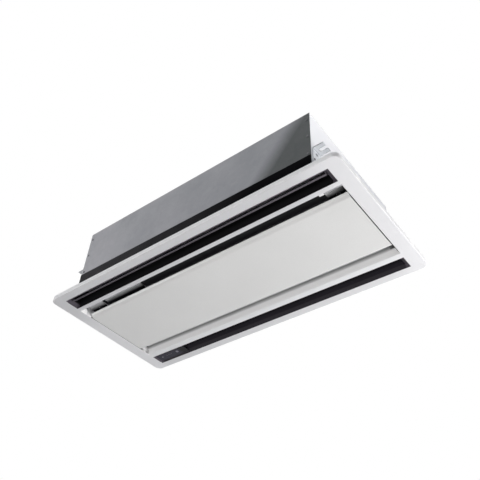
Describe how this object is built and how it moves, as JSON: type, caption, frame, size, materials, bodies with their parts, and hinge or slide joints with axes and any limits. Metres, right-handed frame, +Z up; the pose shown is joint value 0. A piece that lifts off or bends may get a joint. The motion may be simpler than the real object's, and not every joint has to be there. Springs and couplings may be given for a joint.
{
  "type": "ceiling cassette air conditioner",
  "caption": "Two-way ceiling cassette air conditioner: a long steel body over a flat white panel with two vaned outlet slots and a hinged intake cover.",
  "frame": {"origin": "centre of the ceiling opening, at the underside of the ceiling, where the panel's rim rests", "axes": "+X along the unit towards the end without pipes, +Y towards the outlet with the receiver bay, +Z up into the ceiling void"},
  "size_m": [1.415, 0.68, 0.3564],
  "materials": {
    "galvanised_steel": "mottled zinc",
    "coated_steel": "satin",
    "black_foam": "closed-cell foam",
    "duct_foam": "moulded foam",
    "white_plastic": "satin moulding",
    "intake_white": "fine texture",
    "dark_plastic": "satin",
    "black_plastic": "matt",
    "filter_net": "fine net",
    "window_smoke": "smoked gloss",
    "lamp_lens": "clear",
    "circuit_board": "solder mask",
    "bright_steel": "zinc plated",
    "motor_case": "satin",
    "bush_white": "slippery",
    "rubber": "soft",
    "fin_aluminium": "bare",
    "copper": "bare copper",
    "brass": "machined",
    "pan_foam": "moulded foam",
    "pump_plastic": "moulded"
  },
  "bodies": {
    "cassette": {"top_plate": "galvanised_steel", "near_side_panel": "galvanised_steel", "far_side_panel": "galvanised_steel", "left_end_panel": "coated_steel", "right_end_panel": "coated_steel", "near_foam_band": "black_foam", "far_foam_band": "black_foam", "near_liner": "duct_foam", "far_liner": "duct_foam", "hanger_brackets": "galvanised_steel", "cabinet_screws": "bright_steel", "panel_frame": "white_plastic", "panel_brackets": "galvanised_steel", "panel_screws": "bright_steel", "near_outlet_frame": "dark_plastic", "far_outlet_frame": "dark_plastic", "vane_bushes": "bush_white", "near_vane_motor": "motor_case", "far_vane_motor": "motor_case", "receiver_window": "window_smoke", "receiver_board": "circuit_board", "receiver_lamps": "lamp_lens", "hinge_pins": "bright_steel", "intake_seal": "black_foam", "intake_plenum": "black_plastic", "service_cover": "white_plastic", "control_box": "galvanised_steel", "control_board": "circuit_board", "terminal_block": "black_plastic", "cable_gland": "rubber", "fan_deck": "galvanised_steel", "left_bell_mouth": "black_plastic", "right_bell_mouth": "black_plastic", "left_fan_motor": "motor_case", "right_fan_motor": "motor_case", "motor_brackets": "galvanised_steel", "motor_grommets": "rubber", "near_coil_fins": "fin_aluminium", "far_coil_fins": "fin_aluminium", "coil_tubes": "copper", "coil_end_plates": "fin_aluminium", "gas_pipe": "copper", "liquid_pipe": "copper", "pipe_unions": "brass", "drain_pan": "pan_foam", "drain_pump": "pump_plastic", "drain_pipe": "pump_plastic"},
    "near_vane": {"near_vane": "dark_plastic"},
    "far_vane": {"far_vane": "dark_plastic"},
    "intake_panel": {"intake_panel": "intake_white"},
    "left_latch": {"left_latch": "bright_steel"},
    "right_latch": {"right_latch": "bright_steel"},
    "filter": {"filter_frame": "black_plastic", "filter_mesh": "filter_net"},
    "left_fan": {"left_fan_wheel": "black_plastic", "left_fan_shaft": "bright_steel"},
    "right_fan": {"right_fan_wheel": "black_plastic", "right_fan_shaft": "bright_steel"},
    "test_button": {"test_button": "lamp_lens"},
    "drain_float": {"drain_float": "pump_plastic"}
  },
  "joints": [
    {"name": "near_vane_swing", "type": "hinge", "parent": "cassette", "child": "near_vane", "pos_m": [0, -0.2835, -0.003], "axis": [-1, 0, 0], "range_deg": [-28, 51.6]},
    {"name": "far_vane_swing", "type": "hinge", "parent": "cassette", "child": "far_vane", "pos_m": [0, 0.2835, -0.003], "axis": [1, 0, 0], "range_deg": [-28, 51.6]},
    {"name": "intake_panel_hinge", "type": "hinge", "parent": "cassette", "child": "intake_panel", "pos_m": [0, 0.15, -0.004], "axis": [1, 0, 0], "range_deg": [0, 90]},
    {"name": "left_latch_slide", "type": "slide", "parent": "intake_panel", "child": "left_latch", "axis": [1, 0, 0], "range_m": [0, 0.008], "stiffness_N_per_m": 150, "springref_m": -0.004},
    {"name": "right_latch_slide", "type": "slide", "parent": "intake_panel", "child": "right_latch", "axis": [-1, 0, 0], "range_m": [0, 0.008], "stiffness_N_per_m": 150, "springref_m": -0.004},
    {"name": "filter_slide", "type": "slide", "parent": "intake_panel", "child": "filter", "axis": [0, -1, 0], "range_m": [0, 0.025]},
    {"name": "left_fan_spin", "type": "hinge", "parent": "cassette", "child": "left_fan", "pos_m": [-0.21, 0, 0.25], "axis": [0, 0, 1], "continuous": true},
    {"name": "right_fan_spin", "type": "hinge", "parent": "cassette", "child": "right_fan", "pos_m": [0.27, 0, 0.25], "axis": [0, 0, 1], "continuous": true},
    {"name": "test_button_press", "type": "slide", "parent": "cassette", "child": "test_button", "axis": [0, 0, 1], "range_m": [0, 0.0015], "stiffness_N_per_m": 400, "springref_m": -0.001},
    {"name": "drain_float_rise", "type": "slide", "parent": "cassette", "child": "drain_float", "axis": [0, 0, 1], "range_m": [0, 0.01]}
  ]
}
